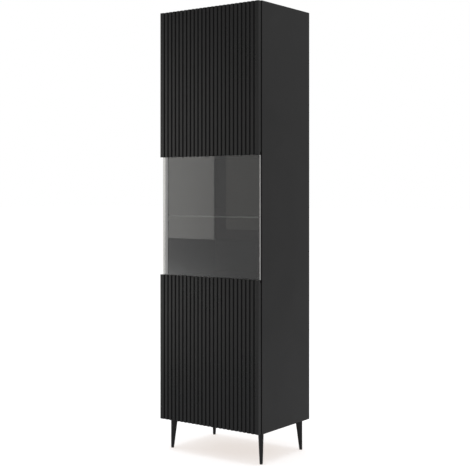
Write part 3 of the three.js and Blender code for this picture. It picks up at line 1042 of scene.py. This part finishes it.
SCREW_INSET = 6 * MM
LEG_CLEARANCE = 16 * MM
for corner in CORNERS:
    low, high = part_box(f"leg_plate_{corner}")
    leg_low, leg_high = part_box(f"leg_{corner}")
    spots = [Vector((x, y, low.z)) for x in (low.x + SCREW_INSET, high.x - SCREW_INSET)
             for y in (low.y + SCREW_INSET, high.y - SCREW_INSET)]
    middle = (leg_low + leg_high) / 2
    clear = [p for p in spots if max(abs(c) for c in (p - middle).xy) > LEG_CLEARANCE]
    screws(f"{corner}_leg_screws", clear, (0, 0, -1), 3.2 * MM, 1.6 * MM)
    print(corner, "leg screws:", len(clear))

# %% Finish for the metal and plastic parts that keep their shape
WELD_DISTANCE = 0.01 * MM
CORNER_ANGLE = math.radians(40)


def refinish(node_name, material, radius):
    """Keeps a piece's shape, softens its corners and gives it a finish."""
    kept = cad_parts[node_name]
    kept.data.materials.clear()
    kept.data.materials.append(material)
    weld = kept.modifiers.new("weld", "WELD")
    weld.merge_threshold = WELD_DISTANCE
    soft = kept.modifiers.new("soft_corners", "BEVEL")
    soft.width, soft.segments, soft.angle_limit = radius, 2, CORNER_ANGLE
    kept.data.shade_smooth()
    even_shading(kept)


for number in range(1, 5):
    for part in ("hinge_plate", "hinge_arm", "hinge_link", "hinge_cup"):
        refinish(f"{part}_{number}", NICKEL, 0.3 * MM)
for which in ("upper", "lower"):
    refinish(f"{which}_latch_body", GREY_PLASTIC, 0.8 * MM)
    refinish(f"{which}_latch_plunger", BLACK_PLASTIC, 0.8 * MM)
refinish("wall_bracket", ZINC, 0.4 * MM)

# %% Screws on the hinges
CUP_SCREWS = (-22.5 * MM, 22.5 * MM)
PLATE_SCREWS = (-18 * MM, 18 * MM)
ARM_SCREWS = (26 * MM, 50 * MM)
PLATE_SCREW_Y = 17 * MM
PLATE_RISE = 2.5 * MM
for number in range(1, 5):
    low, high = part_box(f"hinge_cup_{number}")
    middle = (low + high) / 2
    screws(f"hinge_cup_screws_{number}",
           [(middle.x, high.y, middle.z + dz) for dz in CUP_SCREWS],
           (0, 1, 0), 3.4 * MM, 1.4 * MM, "door")
    low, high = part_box(f"hinge_plate_{number}")
    wing_face = high.x - PLATE_RISE
    middle = (low + high) / 2
    screws(f"hinge_plate_screws_{number}",
           [(wing_face, low.y + PLATE_SCREW_Y, middle.z + dz) for dz in PLATE_SCREWS],
           (-1, 0, 0), 3.6 * MM, 1.6 * MM)
    low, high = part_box(f"hinge_arm_{number}")
    middle = (low + high) / 2
    screws(f"hinge_arm_screws_{number}",
           [(low.x, low.y + dy, middle.z) for dy in ARM_SCREWS],
           (-1, 0, 0), 3.2 * MM, 1.5 * MM)
    print("hinge", number, "height in mm:", round(middle.z / MM))

# %% [markdown]
# ## Shelf pins
#
# A shelf pin is a turned steel peg: a stem in the side board, a thin collar against it and a
# short stub that carries the shelf. Twelve are alike, so a loop places them.

# %% Turned pins
PIN_RADIUS = 2.5 * MM
PIN_DEPTH = 8 * MM
PIN_EDGE = 0.35 * MM
COLLAR_RADIUS = 4.0 * MM
COLLAR_SPAN = (0.3 * MM, 1.5 * MM)


def pin_profile(stub):
    """A stem in the board below zero, a collar, and a stub of the given length."""
    near, far = COLLAR_SPAN
    soft = PIN_EDGE
    return [(0, -PIN_DEPTH), (PIN_RADIUS - soft, -PIN_DEPTH), (PIN_RADIUS, -PIN_DEPTH + soft),
            (PIN_RADIUS, near), (COLLAR_RADIUS - soft, near), (COLLAR_RADIUS, near + soft),
            (COLLAR_RADIUS, far - soft), (COLLAR_RADIUS - soft, far), (PIN_RADIUS, far),
            (PIN_RADIUS, stub - soft), (PIN_RADIUS - soft, stub), (0, stub)]


for shelf in ("lower", "glass", "upper"):
    for end in ("front", "back"):
        for side, sign in (("left", 1), ("right", -1)):
            name = f"{shelf}_shelf_pin_{end}_{side}"
            low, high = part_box(name)
            wall_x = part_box(f"{side}_side_panel")[1 if side == "left" else 0].x
            stub = (high.x - wall_x) if side == "left" else (wall_x - low.x)
            middle = (low + high) / 2
            bm = aim(lathe(pin_profile(stub), 28), (wall_x, middle.y, middle.z), (sign, 0, 0))
            finish_piece(f"{shelf}_pin_{end}_{side}", bm, "carcass", NICKEL,
                         [name])
    print(shelf, "shelf pins at height in mm:", round(middle.z / MM))

# %% [markdown]
# ## The back panel and its nails
#
# The hardboard is held by small flat-headed nails about every 15 cm round its edge and
# along the fixed shelves. The panel has two finishes: lacquer on the face that looks into
# the cabinet, raw fibre on the rest.

# %% Hardboard
BACK_BEVEL = 0.3 * MM
low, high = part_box("back_panel")
back_bm = rounded_box(low, high, BACK_BEVEL)
for face in back_bm.faces:
    face.material_index = 0 if face.normal.y < -FLAT else 1
finish_piece("hardboard_back", back_bm, "carcass",
             [LACQUERED_HARDBOARD, RAW_HARDBOARD], ["back_panel"])
print("hardboard thickness in mm:", round((high.y - low.y) / MM, 1))

# %% Nails
NAIL_STEP = 0.15
NAIL_INSET = 4 * MM
NAIL_MARGIN = 10 * MM
NAIL_PROFILE = in_mm((0, -1), (1.9, -1), (1.9, -0.12), (1.6, 0), (0, 0))
nail_places = []
for name in ("bottom_panel", "lower_fixed_shelf", "upper_fixed_shelf", "top_panel"):
    row_low, row_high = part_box(name)
    z = (row_low.z + row_high.z) / 2
    count = round((high.x - low.x) / NAIL_STEP)
    for i in range(1, count):
        nail_places.append((low.x + (high.x - low.x) * i / count, z))
uprights = round((high.z - low.z) / NAIL_STEP)
for i in range(uprights + 1):
    z = low.z + NAIL_MARGIN + (high.z - low.z - 2 * NAIL_MARGIN) * i / uprights
    nail_places += [(low.x + NAIL_INSET, z), (high.x - NAIL_INSET, z)]
nails = [aim(lathe(NAIL_PROFILE, 14), (x, high.y, z), (0, 1, 0)) for x, z in nail_places]
finish_piece("back_nails", together(nails), "carcass", ZINC)
print("back nails:", len(nail_places))

# %% [markdown]
# ## Small fittings
#
# Clips hold the pane in its rebates. Soft dots on the side board stop the door from
# knocking. Cam locks pull the boards together, each under a thin plastic cover, and screws
# hold the latches and the wall bracket. Each is placed from the piece it belongs to.

# %% Clips that hold the pane
CLIP_THICK = 1.4 * MM
CLIP_HALF = 7 * MM
CLIP_ON_PANEL = 26 * MM
CLIP_ON_PANE = 8 * MM
CLIP_SCREW = 19 * MM
CLIP_SPACING = 150 * MM
CLIP_GAP = 0.15 * MM
CLIP_RADIUS = 0.5 * MM
lower_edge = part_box("lower_ribbed_panel")[1].z
upper_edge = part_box("upper_ribbed_panel")[0].z
near = pane_high.y + CLIP_GAP
far = near + CLIP_THICK
clips, clip_screws = [], []
for sign, edge_z in ((-1, lower_edge), (1, upper_edge)):
    bottom, top = sorted((edge_z + sign * CLIP_ON_PANEL, edge_z - sign * CLIP_ON_PANE))
    for x in (-CLIP_SPACING, 0, CLIP_SPACING):
        clips.append(rounded_box((x - CLIP_HALF, near, bottom), (x + CLIP_HALF, far, top),
                                 CLIP_RADIUS))
        clip_screws.append((x, far, edge_z + sign * CLIP_SCREW))
finish_piece("pane_clips", together(clips), "door", BLACK_PLASTIC)
screws("pane_clip_screws", clip_screws, (0, 1, 0), 3.0 * MM, 1.0 * MM, "door")
print("pane clips:", len(clips))

# %% Dots that soften the door's closing
DOT_PROFILE = in_mm((0, 0), (4, 0), (3.9, 0.9), (3.2, 1.7), (1.8, 2.1), (0, 2.2))
DOT_INSET = 9 * MM
DOT_MARGIN = 40 * MM
side_low, side_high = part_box("left_side_panel")
dot_heights = (side_low.z + DOT_MARGIN, lower_edge - DOT_MARGIN, upper_edge + DOT_MARGIN,
               side_high.z - DOT_MARGIN)
dots = [aim(lathe(DOT_PROFILE, 24), (side_low.x + DOT_INSET, side_low.y, z), (0, -1, 0))
        for z in dot_heights]
finish_piece("bumper_dots", together(dots), "carcass", SOFT_BUMPER, smooth=60)
print("bumper dots:", len(dots))

# %% Covers over the cam locks
COVER_PROFILE = in_mm((0, 0), (8.5, 0), (8.2, 0.8), (7.3, 1.1), (0, 1.1))
COVER_FROM_SIDE = 34 * MM
COVER_FROM_EDGE = 50 * MM
inner_left, inner_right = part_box("left_side_panel")[1].x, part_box("right_side_panel")[0].x
covers = []
for board in ("top_panel", "upper_fixed_shelf", "lower_fixed_shelf", "bottom_panel"):
    low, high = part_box(board)
    for x in (inner_left + COVER_FROM_SIDE, inner_right - COVER_FROM_SIDE):
        for y in (low.y + COVER_FROM_EDGE, high.y - COVER_FROM_EDGE):
            covers.append(aim(lathe(COVER_PROFILE, 28), (x, y, low.z), (0, 0, -1)))
finish_piece("cam_covers", together(covers), "carcass", BLACK_PLASTIC)
print("cam covers:", len(covers))

# %% Screws on the latches and the wall bracket
LATCH_SCREW_INSET = 12 * MM
BRACKET_SHEET = 2 * MM
BRACKET_SCREW_Y = 9 * MM
BRACKET_SCREWS = (-11 * MM, 11 * MM)
WALL_SCREW_Z = 11 * MM
for which, facing in (("upper", -1), ("lower", 1)):
    low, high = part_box(f"{which}_latch_body")
    z = low.z if facing < 0 else high.z
    middle_x = (low.x + high.x) / 2
    places = [(middle_x, y, z) for y in (low.y + LATCH_SCREW_INSET, high.y - LATCH_SCREW_INSET)]
    screws(f"{which}_latch_screws", places, (0, 0, facing), 3.0 * MM, 1.3 * MM)
low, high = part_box("wall_bracket")
places = [(x, low.y + BRACKET_SCREW_Y, high.z - BRACKET_SHEET) for x in BRACKET_SCREWS]
screws("bracket_screws", places, (0, 0, -1), 3.4 * MM, 1.6 * MM)
wall_screw = (0, high.y - BRACKET_SHEET, low.z + WALL_SCREW_Z)
screws("bracket_wall_screw", [wall_screw], (0, -1, 0), 4.2 * MM, 2.2 * MM)
